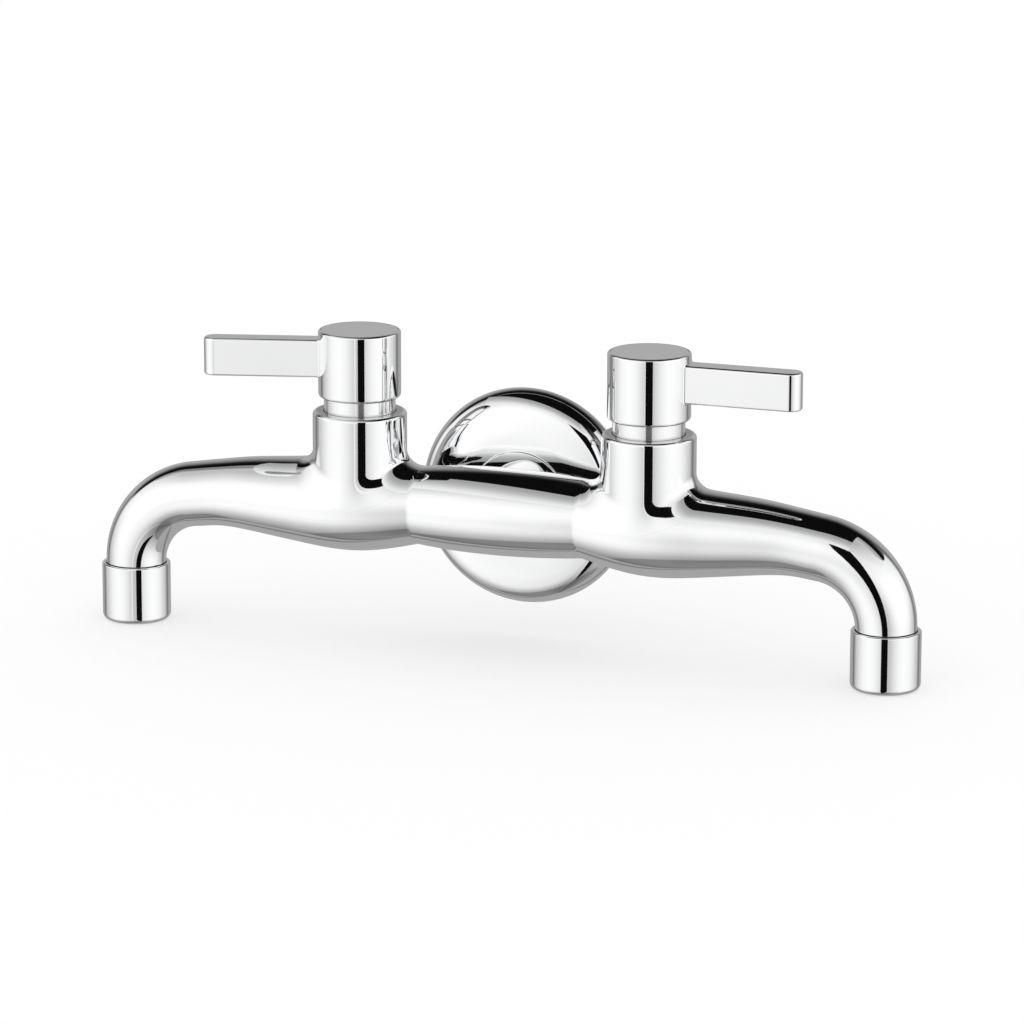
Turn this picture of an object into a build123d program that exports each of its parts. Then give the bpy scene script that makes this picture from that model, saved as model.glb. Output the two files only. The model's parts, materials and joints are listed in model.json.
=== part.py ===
"""Double spout sink tap: a chromed brass casting with a wall inlet, two quarter turn valves and two bent spouts.

Millimetres. The origin is the middle of the wall inlet, on the wall plane. +X is to the right for someone who
faces the tap, +Z is up, and the tap stands out from the wall towards -Y. The casting's long axis lies at
height zero.
"""
from build123d import *
from math import atan2, cos, pi, radians, sin
import os

# Where the main axes lie
wall_to_axis = 28.0             # wall plane to the casting's long axis
valve_spacing = 110.0           # between the two valve axes
bend_radius = 27.5              # centre line of each arm's bend
arm_run = 61.2                  # valve axis to the bend's centre

# Barrel between the valves
barrel_radius = 16.0            # at its middle
crease_radius = 14.2            # where the barrel meets the valve bodies
crease_inboard = 23.5           # from the valve axis in to the crease
crease_blend = 5.0

# Valve bodies and arms
belly_radius = 17.5             # swollen valve body, under the tower
belly_drop = 1.1                # its centre below the long axis
arm_neck_radius = 11.95         # arm where it goes over into the bend
arm_neck_drop = 2.9             # top of the bend's centre line below the long axis
arm_neck_slope = 8.0            # degrees already turned down there
spout_radius = 11.0             # at the spout's end
arm_form = (                    # evenly spaced: share of the fall in radius, drop of the centre
    (0.07, 1.35),
    (0.305, 1.5),
    (0.515, 1.3),
    (0.73, 1.15),
    (0.93, 1.65),
)

# Towers
tower_radius = 17.1
tower_height = 33.0             # tower top above the long axis
tower_blend = 5.0               # blend from the tower into the casting
tower_rim_round = 1.2

# Waterways in the casting
inlet_bore_radius = 7.5
barrel_bore_radius = 9.5
arm_bore_radius = 8.0
riser_radius = 5.5              # up from the barrel to the valve seat
seat_height = 12.0              # valve seat above the long axis
chamber_radius = 11.6
chamber_height = 12.0
port_radius = 4.5               # sloping port from the chamber to the arm
port_start = (7.0, 18.0)        # its start: out from the valve axis, and height
port_end = 27.0                 # its end, out from the valve axis
port_overlap = 5.0              # the arm's bore starts this far inside of the port's end
bore_past_valve = 6.2           # the barrel's bore ends this far beyond the valve axis

# Wall inlet, a half inch pipe thread, and the plate round it
inlet_thread_radius = 10.48
inlet_thread_length = 18.0
inlet_thread_inside = 2.0       # how much of the thread lies in front of the wall plane
inlet_relief_radius = 9.6
inlet_collar_radius = 13.5
inlet_chamfer = 1.0
flange_radius = 40.0
flange_wall = 1.0
flange_depth = 11.4             # wall plane to the front of the land
flange_land_radius = 18.3
flange_land_step = 0.8
flange_rim_band = 0.45
flange_rim_round = 7.0          # the dome's edge turns back to the wall with this radius
flange_crown_gap = 1.0          # the crown is level this far outside of the land
flange_hole_clearance = 0.35
flange_edge_round = 0.35

# Valve cartridge
clearance = 0.06                # radial, for threads, discs and the spindle
flat_gap = 0.15                 # along the axis, for pieces that turn on each other loosely
cartridge_thread_radius = 10.48
cartridge_flange_radius = 11.2
cartridge_flange_height = 2.0
cartridge_hexagon = 17.0        # across the flats
cartridge_hexagon_height = 5.0
cartridge_neck_radius = 7.0
cartridge_neck_height = 2.0
cartridge_barrel_radius = 9.2
cartridge_bore_radius = 8.2
cartridge_thread_length = 6.2
seal_groove_height = 1.8        # groove for the seal ring under the flange
seal_ring_wire = 0.85           # radius of the ring's round section
seal_ring_gap = 0.05
window_width = 10.0
window_height = 4.6
seat_seal_lip = 0.9             # thickness of the lip on the seat
seat_seal_height = 3.0
seat_seal_bore = 5.4
fixed_disc_height = 3.0
turning_disc_height = 2.6
disc_hole_outer = 6.4
disc_hole_inner = 1.6
disc_hole_angle = 72.0
drive_slot_width = 3.0
drive_slot_depth = 1.0
spindle_foot_height = 4.0
spindle_foot_roof = 1.4         # solid top of the foot over its side ports
thrust_washer_height = 0.6
spindle_radius = 4.5
spindle_seal_wire = 0.6
spindle_seal_pitch = 4.0
spindle_seal_first = 5.0        # above the thrust washer
spindle_groove_depth = 1.2
clip_thickness = 0.8
clip_outer_radius = 6.3
clip_groove_depth = 0.9
clip_mouth = 5.0
spline_height = 12.3
spline_teeth = 20
spline_major_radius = 3.95
spline_minor_radius = 3.5
spindle_tap_depth = 10.5

# Neck ring between tower and handle
neck_ring_radius = 13.0
neck_ring_height = 7.5
neck_ring_round = 0.4
handle_lift = 6.1               # tower top to the bottom of the handle

# Handle
hub_radius = 15.0
hub_height = 24.0
hub_top_round = 0.7
hub_bottom_round = 1.5
skirt_clearance = 0.3           # between neck ring and handle skirt
skirt_depth = 4.6
screw_web = 2.5                 # metal under the screw's head
lever_length = 56.5             # hub axis to the lever's end
lever_height = 13.8
lever_thickness = 9.0
lever_top_below_hub = 3.4
lever_end_round = 3.0
lever_edge_round = 0.7
lever_root_round = 0.8
left_turn_shown = 15.0          # the left lever is shown this far open, in degrees

# Handle screw, M4, and the plain cap over it
screw_radius = 2.0
screw_hole_clearance = 0.2
screw_head_radius = 3.5
screw_head_height = 2.5
screw_head_room = 0.5
screw_thread_gap = 0.05
screw_reach = 8.0               # length of the screw in the spindle
screw_key = 2.5                 # across the flats of its socket
screw_key_depth = 1.3
cap_radius = 14.0
cap_height = 1.5
cap_gap = 0.06
cap_edge_round = 0.25
cap_spigot_radius = 4.1
cap_spigot_gap = 0.2

# Aerators
joint_gap = 0.4                 # groove seen between spout and aerator cap
aerator_cap_radius = 12.6
aerator_cap_height = 21.4
aerator_cap_bottom_round = 2.4
aerator_cap_top_round = 0.6
spout_thread_radius = 10.9
spout_thread_length = 9.0
aerator_washer_height = 1.8
aerator_washer_bore = 8.0
aerator_flange_height = 1.5
insert_radius = 10.2
insert_wall = 1.3
insert_height = 7.6             # below its flange
insert_side_gap = 0.12
outlet_radius = 9.3             # opening in the cap's end
insert_grid_height = 2.2
insert_grid_pitch = 2.5
insert_grid_hole = 1.9
insert_grid_reach = 7.3         # holes lie within this radius
screen_thickness = 0.4
screen_spacing = 1.1
screen_pitch = 3.2
screen_hole = 2.3

# Worked out from the sizes above
half_spacing = valve_spacing / 2
crease_x = half_spacing - crease_inboard
bend_x = half_spacing + arm_run
bend_z = -arm_neck_drop - bend_radius
spout_x = bend_x + bend_radius
thread_top = tower_height - seal_groove_height
barrel_bottom = seat_height + seat_seal_lip
fixed_disc_z = seat_height + seat_seal_height
turning_disc_z = fixed_disc_z + fixed_disc_height
foot_z = turning_disc_z + turning_disc_height
washer_z = foot_z + spindle_foot_height
cartridge_step_z = washer_z + thrust_washer_height
cartridge_top = tower_height + cartridge_flange_height + cartridge_hexagon_height + cartridge_neck_height
clip_z = cartridge_top + flat_gap
spline_z = clip_z + clip_thickness + 2 * flat_gap
spindle_top = spline_z + spline_height
hub_z = tower_height + handle_lift
hub_top = hub_z + hub_height
skirt_top = hub_z + skirt_depth
socket_top = spindle_top + 2 * flat_gap
screw_seat = socket_top + screw_web
cap_z = hub_top - cap_height
spout_end_z = bend_z - spout_thread_length
cap_top_z = bend_z - joint_gap
washer_bottom_z = spout_end_z - aerator_washer_height
insert_step_z = washer_bottom_z - aerator_flange_height
cap_bottom_z = cap_top_z - aerator_cap_height
insert_bottom_z = insert_step_z - insert_height

bottom = (Align.CENTER, Align.CENTER, Align.MIN)
top = (Align.CENTER, Align.CENTER, Align.MAX)


def rod(radius, low, high):
    """Upright cylinder on the local axis."""
    return Pos(0, 0, low) * Cylinder(radius, high - low, align=bottom)


def tube(outer, inner, low, high):
    return rod(outer, low, high) - rod(inner, low, high)


def circle_edges(solid, radius, height, tolerance=0.05):
    """Round edges of one radius on the local axis at one height."""
    found = []
    for edge in solid.edges():
        if edge.geom_type != GeomType.CIRCLE:
            continue
        centre = edge.arc_center
        near = abs(centre.Z - height) < tolerance and abs(edge.radius - radius) < tolerance
        if near and abs(centre.X) < tolerance and abs(centre.Y) < tolerance:
            found.append(edge)
    return found


def section(x, z, radius, tilt=0.0):
    """One round cross section of an arm, facing along the arm."""
    facing = (cos(radians(tilt)), 0, -sin(radians(tilt)))
    return Plane(origin=(x, -wall_to_axis, z), x_dir=(0, 1, 0), z_dir=facing) * Circle(radius)


def bend_point(angle):
    """Point on the bend's centre line, by the angle that it has turned down."""
    return bend_x + bend_radius * sin(radians(angle)), bend_z + bend_radius * cos(radians(angle))


def arm_solid():
    """Right valve body and tapering arm, lofted through round sections, and the bend swept on from its end."""
    half_way = 0.5
    half_rise = 0.64
    middle_radius = crease_radius + half_rise * (belly_radius - crease_radius)
    sections = [
        section(crease_x, 0, crease_radius),
        section(crease_x + half_way * crease_inboard, -half_rise * belly_drop, middle_radius),
        section(half_spacing, -belly_drop, belly_radius),
    ]
    neck_x, neck_z = bend_point(arm_neck_slope)
    for k, (fall, drop) in enumerate(arm_form):
        share = (k + 1) / (len(arm_form) + 1)
        radius = belly_radius - fall * (belly_radius - arm_neck_radius)
        sections.append(section(half_spacing + share * (neck_x - half_spacing), -drop, radius))
    neck = section(neck_x, neck_z, arm_neck_radius, arm_neck_slope)
    sections.append(neck)
    middle_x, middle_z = bend_point((90 + arm_neck_slope) / 2)
    bend = ThreePointArc(
        (neck_x, -wall_to_axis, neck_z),
        (middle_x, -wall_to_axis, middle_z),
        (spout_x, -wall_to_axis, bend_z),
    )
    spout = sweep([neck, section(spout_x, bend_z, spout_radius, 90)], path=bend, multisection=True)
    return loft(sections) + spout


def barrel_solid():
    """Barrel between the valve bodies, fuller in the middle."""
    front = Plane(origin=(0, -wall_to_axis, 0), x_dir=(1, 0, 0), z_dir=(0, -1, 0))
    straight = Polyline((-crease_x, crease_radius), (-crease_x, 0), (crease_x, 0), (crease_x, crease_radius))
    swell = ThreePointArc((crease_x, crease_radius), (0, barrel_radius), (-crease_x, crease_radius))
    profile = make_face(front * (straight + swell))
    return revolve(profile, Axis((0, -wall_to_axis, 0), (1, 0, 0)))


def along_y(radius, start, end):
    """Cylinder on the inlet's axis from one Y to another."""
    plane = Plane(origin=(0, start, 0), z_dir=(0, 1, 0))
    return plane * Cylinder(radius, end - start, align=bottom)


def casting_outside():
    """Barrel, arms, towers and inlet neck as one body, with the blends of a casting."""
    arm = arm_solid()
    body = barrel_solid() + arm + mirror(arm, Plane.YZ)
    creases = []
    for edge in body.edges():
        if edge.geom_type == GeomType.CIRCLE and abs(edge.radius - crease_radius) < 0.01:
            creases.append(edge)
    body = fillet(creases, crease_blend)
    for side in (-1, 1):
        place = Pos(side * half_spacing, -wall_to_axis, 0)
        tower = place * rod(tower_radius, 0, tower_height)
        body = body + tower
        wall = [f for f in body.faces() if f.geom_type == GeomType.CYLINDER and side * f.center().X > 0]
        roots = [e for f in wall for e in f.edges() if e.geom_type == GeomType.BSPLINE]
        body = fillet(roots, tower_blend)
    rims = []
    for edge in body.edges():
        if edge.geom_type == GeomType.CIRCLE and abs(edge.arc_center.Z - tower_height) < 0.01:
            rims.append(edge)
    body = fillet(rims, tower_rim_round)
    collar = along_y(inlet_collar_radius, -wall_to_axis, -flange_depth)
    relief = along_y(inlet_relief_radius, -flange_depth, -inlet_thread_inside)
    thread_end = inlet_thread_length - inlet_thread_inside
    thread = along_y(inlet_thread_radius, -inlet_thread_inside, thread_end)
    tip = [e for e in thread.edges() if e.geom_type == GeomType.CIRCLE and e.arc_center.Y > 0]
    thread = chamfer(tip, inlet_chamfer)
    body = body + collar + relief + thread
    for side in (-1, 1):
        end = Pos(side * spout_x, -wall_to_axis, 0) * rod(spout_thread_radius, spout_end_z, bend_z)
        body = body + end
    return body


def arm_waterway():
    """Bore of the right arm, from the sloping port to the open end of the spout."""
    port_x = half_spacing + port_end
    start = (port_x - port_overlap, -wall_to_axis, -arm_neck_drop)
    turn = (bend_x, -wall_to_axis, -arm_neck_drop)
    low = (spout_x, -wall_to_axis, bend_z)
    past_end = (spout_x, -wall_to_axis, spout_end_z - spout_thread_length)
    middle_x, middle_z = bend_point(45)
    middle = (middle_x, -wall_to_axis, middle_z)
    path = Line(start, turn) + ThreePointArc(turn, middle, low) + Line(low, past_end)
    mouth = Plane(origin=start, x_dir=(0, 1, 0), z_dir=(1, 0, 0)) * Circle(arm_bore_radius)
    bore = sweep(mouth, path)
    port_from = Vector(half_spacing + port_start[0], -wall_to_axis, port_start[1])
    port_to = Vector(port_x, -wall_to_axis, -arm_neck_drop)
    port_line = port_to - port_from
    port = Plane(origin=port_from, z_dir=port_line) * Cylinder(port_radius, port_line.length, align=bottom)
    return bore + port


def body_casting():
    body = casting_outside()
    thread_end = inlet_thread_length - inlet_thread_inside
    body = body - along_y(inlet_bore_radius, -wall_to_axis, thread_end)
    reach = half_spacing + bore_past_valve
    across = Plane(origin=(-reach, -wall_to_axis, 0), x_dir=(0, -1, 0), z_dir=(1, 0, 0))
    body = body - across * Cylinder(barrel_bore_radius, 2 * reach, align=bottom)
    valve = rod(riser_radius, 0, seat_height)
    valve = valve + rod(chamber_radius, seat_height, seat_height + chamber_height)
    valve = valve + rod(cartridge_thread_radius + clearance, seat_height, thread_top)
    mouth_radius = cartridge_thread_radius + 2 * seal_ring_gap + seal_ring_wire
    valve = valve + rod(mouth_radius, thread_top, tower_height)
    waterway = arm_waterway()
    for side in (-1, 1):
        body = body - Pos(side * half_spacing, -wall_to_axis, 0) * valve
    body = body - waterway - mirror(waterway, Plane.YZ)
    return body


def flange_section(inset):
    """Half section of the dome, drawn as radius along X and height from the wall along Y."""
    rim_round = flange_rim_round - inset
    rim_centre = flange_radius - flange_rim_round
    crown_edge = flange_land_radius + flange_crown_gap
    crown_top = flange_depth - flange_land_step - inset
    run = rim_centre - crown_edge
    rise = crown_top - flange_rim_band - rim_round
    tilt = 2 * atan2(rise, run)
    crown_round = run / sin(tilt) + rim_round
    rim_outer = (rim_centre + rim_round, flange_rim_band)
    half_turn = (pi / 2 - tilt) / 2
    rim_middle = (rim_centre + rim_round * cos(half_turn), flange_rim_band + rim_round * sin(half_turn))
    shoulder = (rim_centre + rim_round * sin(tilt), flange_rim_band + rim_round * cos(tilt))
    crown_centre = crown_top - crown_round
    crown_middle = (crown_edge + crown_round * sin(tilt / 2), crown_centre + crown_round * cos(tilt / 2))
    land_edge = flange_land_radius - inset
    land_top = flange_depth - inset
    lines = Polyline((0, 0), (rim_outer[0], 0), rim_outer)
    lines += ThreePointArc(rim_outer, rim_middle, shoulder)
    lines += ThreePointArc(shoulder, crown_middle, (crown_edge, crown_top))
    lines += Polyline((crown_edge, crown_top), (land_edge, crown_top), (land_edge, land_top))
    lines += Polyline((land_edge, land_top), (0, land_top), (0, 0))
    return make_face(lines)


def wall_flange():
    """Pressed dome with a raised round land, loose on the inlet and held by the casting's collar."""
    on_axis = Plane(origin=(0, 0, 0), x_dir=(1, 0, 0), z_dir=(0, 0, 1))
    spin = Axis((0, 0, 0), (0, 1, 0))
    shell = revolve(on_axis * flange_section(0), spin) - revolve(on_axis * flange_section(flange_wall), spin)
    hole = inlet_thread_radius + flange_hole_clearance
    cutter = Plane(origin=(0, 0, 0), z_dir=(0, 1, 0)) * Cylinder(hole, flange_depth * 2, align=bottom)
    shell = shell - cutter
    rounds = []
    for edge in shell.edges():
        if edge.geom_type != GeomType.CIRCLE:
            continue
        at_land = abs(edge.radius - flange_land_radius) < 0.01
        if at_land and abs(edge.arc_center.Y - flange_depth) < 0.01:
            rounds.append(edge)
    shell = fillet(rounds, flange_edge_round)
    return mirror(shell, Plane.XZ)


def neck_ring():
    """Plain chromed ring that stands on the tower and reaches into the handle's skirt."""
    outer = neck_ring_radius
    inner = cartridge_flange_radius + 2 * clearance
    ring = tube(outer, inner, tower_height, tower_height + neck_ring_height)
    return fillet(circle_edges(ring, outer, tower_height + neck_ring_height), neck_ring_round)


def cartridge_body():
    """Brass headwork: barrel with two windows, thread, flange, hexagon and neck."""
    flange_top = tower_height + cartridge_flange_height
    hexagon_top = flange_top + cartridge_hexagon_height
    groove_radius = cartridge_thread_radius - seal_ring_wire - seal_ring_gap
    body = rod(cartridge_barrel_radius, barrel_bottom, thread_top)
    body = body + rod(cartridge_thread_radius, thread_top - cartridge_thread_length, thread_top)
    body = body + rod(groove_radius, thread_top, tower_height)
    body = body + rod(cartridge_flange_radius, tower_height, flange_top)
    hexagon = RegularPolygon(cartridge_hexagon / 2, 6, major_radius=False)
    body = body + Pos(0, 0, flange_top) * extrude(hexagon, cartridge_hexagon_height)
    body = body + rod(cartridge_neck_radius, hexagon_top, cartridge_top)
    body = body - rod(cartridge_bore_radius, barrel_bottom, cartridge_step_z)
    body = body - rod(spindle_radius + clearance, cartridge_step_z, cartridge_top)
    window_z = foot_z - (window_height - spindle_foot_height + spindle_foot_roof)
    window = Box(3 * cartridge_barrel_radius, window_width, window_height, align=bottom)
    return body - Pos(0, 0, window_z) * window


def rubber_ring(radius, wire, height):
    """Seal ring whose small round section is drawn with eight sides."""
    middle = Plane(origin=(radius, 0, height), x_dir=(1, 0, 0), z_dir=(0, -1, 0))
    return revolve(middle * RegularPolygon(wire, 8), Axis.Z)


def cartridge_seal_ring():
    """Rubber ring under the cartridge's flange, in the mouth of the tower."""
    return rubber_ring(cartridge_thread_radius, seal_ring_wire, thread_top + seal_groove_height / 2)


def seat_seal():
    """Rubber seal between the valve seat and the fixed disc."""
    lip = rod(cartridge_barrel_radius - clearance, seat_height, barrel_bottom)
    sleeve = rod(cartridge_bore_radius - clearance, barrel_bottom, fixed_disc_z)
    return lip + sleeve - rod(seat_seal_bore, seat_height, fixed_disc_z)


def disc_ports(low, high, reach, turn):
    """Two opposite sectors that the water passes through."""
    half = disc_hole_angle / 2
    points = []
    for angle in (-half, half):
        points.append((cos(radians(angle)), sin(radians(angle))))
    (ax, ay), (bx, by) = points
    near = disc_hole_inner
    lines = Line((near * ax, near * ay), (reach * ax, reach * ay))
    lines += ThreePointArc((reach * ax, reach * ay), (reach, 0), (reach * bx, reach * by))
    lines += Line((reach * bx, reach * by), (near * bx, near * by))
    lines += ThreePointArc((near * bx, near * by), (near, 0), (near * ax, near * ay))
    sector = Pos(0, 0, low) * extrude(make_face(lines), high - low)
    return Rot(0, 0, turn) * sector + Rot(0, 0, turn + 180) * sector


def drive_bar(width, low, high):
    """Bar across the axis that the spindle's foot turns the disc with."""
    length = 2 * (cartridge_bore_radius - 2 * clearance)
    bar = Pos(0, 0, low) * Box(length, width, high - low, align=bottom)
    inside = rod(cartridge_bore_radius - 2 * clearance, low, high)
    return bar & inside


def fixed_disc():
    """Lower ceramic disc, its ports to left and right."""
    disc = rod(cartridge_bore_radius - clearance, fixed_disc_z, turning_disc_z)
    return disc - disc_ports(fixed_disc_z, turning_disc_z, disc_hole_outer, 0)


def turning_disc():
    """Upper ceramic disc, closed when its ports stand across those of the fixed disc."""
    disc = rod(cartridge_bore_radius - 2 * clearance, turning_disc_z, foot_z)
    disc = disc - disc_ports(turning_disc_z, foot_z, disc_hole_outer, 90)
    return disc - drive_bar(drive_slot_width + 2 * clearance, foot_z - drive_slot_depth, foot_z)


def spindle():
    """Brass spindle: foot with side ports, two seal grooves, clip groove and splined end."""
    foot = rod(cartridge_bore_radius - 2 * clearance, foot_z, washer_z)
    reach = 2 * cartridge_bore_radius
    foot = foot - disc_ports(foot_z, washer_z - spindle_foot_roof, reach, 90)
    keys = drive_bar(drive_slot_width, foot_z - drive_slot_depth + clearance, foot_z)
    keys = keys - rod(drive_slot_width, foot_z - drive_slot_depth, foot_z)
    shaft = rod(spindle_radius, washer_z, spline_z)
    groove_radius = spindle_radius - spindle_groove_depth
    groove_half = spindle_seal_wire + clearance
    for z in seal_heights():
        shaft = shaft - tube(2 * spindle_radius, groove_radius, z - groove_half, z + groove_half)
    clip_groove = spindle_radius - clip_groove_depth
    clip_top = clip_z + clip_thickness
    shaft = shaft - tube(2 * spindle_radius, clip_groove, clip_z - clearance, clip_top + clearance)
    spline = Pos(0, 0, spline_z) * extrude(spline_face(0), spline_height)
    tapped = rod(screw_radius, spindle_top - spindle_tap_depth, spindle_top)
    return foot + keys + shaft + spline - tapped


def spline_face(grow):
    """Toothed outline of the splined end, grown outwards by a clearance for its socket."""
    corners = []
    count = 2 * spline_teeth
    for k in range(count):
        radius = (spline_major_radius if k % 2 == 0 else spline_minor_radius) + grow
        angle = 2 * pi * k / count
        corners.append((radius * cos(angle), radius * sin(angle)))
    return make_face(Polyline(*corners, close=True))


def seal_heights():
    first = cartridge_step_z + spindle_seal_first
    return [first, first + spindle_seal_pitch]


def spindle_seals():
    ring_radius = spindle_radius - spindle_groove_depth / 2
    wire = spindle_seal_wire - seal_ring_gap / 2
    return Compound(children=[rubber_ring(ring_radius, wire, z).solid() for z in seal_heights()])


def thrust_washer():
    outer = cartridge_bore_radius - 2 * clearance
    return tube(outer, spindle_radius + clearance, washer_z, cartridge_step_z)


def spindle_clip():
    """Open spring clip in the spindle's groove, over the cartridge's neck."""
    inner = spindle_radius - clip_groove_depth + clearance
    ring = tube(clip_outer_radius, inner, clip_z, clip_z + clip_thickness)
    mouth = Box(clip_outer_radius, clip_mouth, clip_thickness, align=(Align.MIN, Align.CENTER, Align.MIN))
    return ring - Pos(0, 0, clip_z) * mouth


def handle():
    """Round hub with a flat lever, one casting, open below for the neck ring and bored for the spindle."""
    hub = rod(hub_radius, hub_z, hub_top)
    lever_top = hub_top - lever_top_below_hub
    lever_middle = lever_top - lever_height / 2
    bar = Pos(0, 0, lever_middle) * Box(
        lever_length, lever_thickness, lever_height, align=(Align.MIN, Align.CENTER, Align.CENTER)
    )
    ends = [e for e in bar.edges().filter_by(Axis.Z) if e.center().X > lever_length / 2]
    bar = fillet(ends, lever_end_round)
    brims = [e for e in bar.edges() if abs(abs(e.center().Z - lever_middle) - lever_height / 2) < 0.01]
    brims = [e for e in brims if e.center().X > clearance]
    bar = fillet(brims, lever_edge_round)
    body = hub + bar
    roots = []
    for edge in body.edges():
        point = edge.position_at(0.5)
        on_hub = abs((point.X ** 2 + point.Y ** 2) ** 0.5 - hub_radius) < 0.01
        if on_hub and point.X > 0 and hub_z + clearance < point.Z < hub_top - clearance:
            roots.append(edge)
    body = fillet(roots, lever_root_round)
    body = fillet(circle_edges(body, hub_radius, hub_top), hub_top_round)
    body = fillet(circle_edges(body, hub_radius, hub_z), hub_bottom_round)
    skirt_radius = neck_ring_radius + skirt_clearance
    body = body - rod(skirt_radius, hub_z, skirt_top)
    socket = Pos(0, 0, skirt_top) * extrude(spline_face(clearance), socket_top - skirt_top)
    body = body - socket
    body = body - rod(screw_radius + screw_hole_clearance, socket_top, screw_seat)
    body = body - rod(screw_head_radius + screw_head_room, screw_seat, cap_z)
    return body - rod(cap_radius + cap_gap, cap_z, hub_top)


def handle_screw():
    head_top = screw_seat + screw_head_height
    head = rod(screw_head_radius, screw_seat, head_top)
    key = RegularPolygon(screw_key / 2, 6, major_radius=False)
    head = head - Pos(0, 0, head_top - screw_key_depth) * extrude(key, screw_key_depth)
    return head + rod(screw_radius - screw_thread_gap, spindle_top - screw_reach, screw_seat)


def top_cap():
    """Plain round cap pressed into the hub over the screw."""
    cap = rod(cap_radius, cap_z, hub_top)
    cap = fillet(circle_edges(cap, cap_radius, hub_top), cap_edge_round)
    return cap + rod(cap_spigot_radius - cap_spigot_gap, screw_seat + screw_head_height + cap_spigot_gap, cap_z)


def aerator_cap():
    """Chromed housing screwed over the spout's end, open below."""
    cap = rod(aerator_cap_radius, cap_bottom_z, cap_top_z)
    cap = fillet(circle_edges(cap, aerator_cap_radius, cap_bottom_z), aerator_cap_bottom_round)
    cap = fillet(circle_edges(cap, aerator_cap_radius, cap_top_z), aerator_cap_top_round)
    cap = cap - rod(spout_thread_radius + clearance, insert_step_z, cap_top_z)
    cap = cap - rod(insert_radius + insert_side_gap, insert_bottom_z - flat_gap, insert_step_z)
    return cap - rod(outlet_radius, cap_bottom_z, insert_step_z)


def aerator_washer():
    return tube(spout_thread_radius - clearance, aerator_washer_bore, washer_bottom_z, spout_end_z)


def aerator_insert():
    """Plastic cage with a flange above and a grid of square jets below."""
    cage = rod(spout_thread_radius - clearance, insert_step_z, washer_bottom_z)
    cage = cage + rod(insert_radius, insert_bottom_z, insert_step_z)
    grid_top = insert_bottom_z + insert_grid_height
    cage = cage - rod(insert_radius - insert_wall, grid_top, washer_bottom_z)
    hole = Box(insert_grid_hole, insert_grid_hole, insert_grid_height, align=bottom)
    return cage - square_pattern(Pos(0, 0, insert_bottom_z) * hole, insert_grid_pitch, insert_grid_reach)


def square_pattern(hole, pitch, reach):
    """Copies of a hole on a square grid, as far as a radius."""
    count = int(reach / pitch)
    holes = []
    for i in range(-count, count + 1):
        for j in range(-count, count + 1):
            if (i ** 2 + j ** 2) ** 0.5 * pitch <= reach:
                holes.append(Pos(i * pitch, j * pitch, 0) * hole)
    return holes


def aerator_screens():
    """Two round metal screens that lie in the cage above the grid."""
    discs = []
    radius = insert_radius - insert_wall - clearance
    base = insert_bottom_z + insert_grid_height + clearance
    for k in range(2):
        low = base + k * screen_spacing
        disc = rod(radius, low, low + screen_thickness)
        hole = Pos(0, 0, low) * Box(screen_hole, screen_hole, screen_thickness, align=bottom)
        discs.append((disc - square_pattern(hole, screen_pitch, radius - screen_hole)).solid())
    return Compound(children=discs)


still_pieces = {
    "neck_ring": neck_ring,
    "cartridge_body": cartridge_body,
    "cartridge_seal_ring": cartridge_seal_ring,
    "seat_seal": seat_seal,
    "fixed_disc": fixed_disc,
}
turning_pieces = {
    "turning_disc": turning_disc,
    "thrust_washer": thrust_washer,
    "spindle": spindle,
    "spindle_seals": spindle_seals,
    "spindle_clip": spindle_clip,
    "handle": handle,
    "handle_screw": handle_screw,
    "top_cap": top_cap,
}
spout_pieces = {
    "aerator_cap": aerator_cap,
    "aerator_washer": aerator_washer,
    "aerator_insert": aerator_insert,
    "aerator_screens": aerator_screens,
}


def write(name, solid):
    solid.label = name
    export_step(solid, "parts/" + name + ".step")


os.makedirs("parts", exist_ok=True)
write("body_casting", body_casting())
write("wall_flange", wall_flange())
for side_name, side, facing, shown in (("left", -1, 180.0, left_turn_shown), ("right", 1, 0.0, 0.0)):
    valve_axis = Pos(side * half_spacing, -wall_to_axis, 0)
    spout_axis = Pos(side * spout_x, -wall_to_axis, 0)
    for name, make in still_pieces.items():
        write(side_name + "_" + name, valve_axis * Rot(0, 0, facing) * make())
    for name, make in turning_pieces.items():
        write(side_name + "_" + name, valve_axis * Rot(0, 0, facing + shown) * make())
    for name, make in spout_pieces.items():
        write(side_name + "_" + name, spout_axis * make())
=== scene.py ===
"""Looks of the double spout sink tap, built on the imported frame.

The origin is the middle of the wall inlet on the wall plane, +X to the right for someone who faces the tap,
+Z up, and the tap stands out from the wall towards -Y. The frame, the camera and the studio are in metres.
The tap's own sizes are written in millimetres, and each mesh is scaled to metres when it is finished.
"""
import json
from math import acos, atan2, cos, degrees, hypot, pi, radians, sin, sqrt, tan

import bmesh
import bpy
import numpy as np
from mathutils import Matrix, Vector


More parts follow.
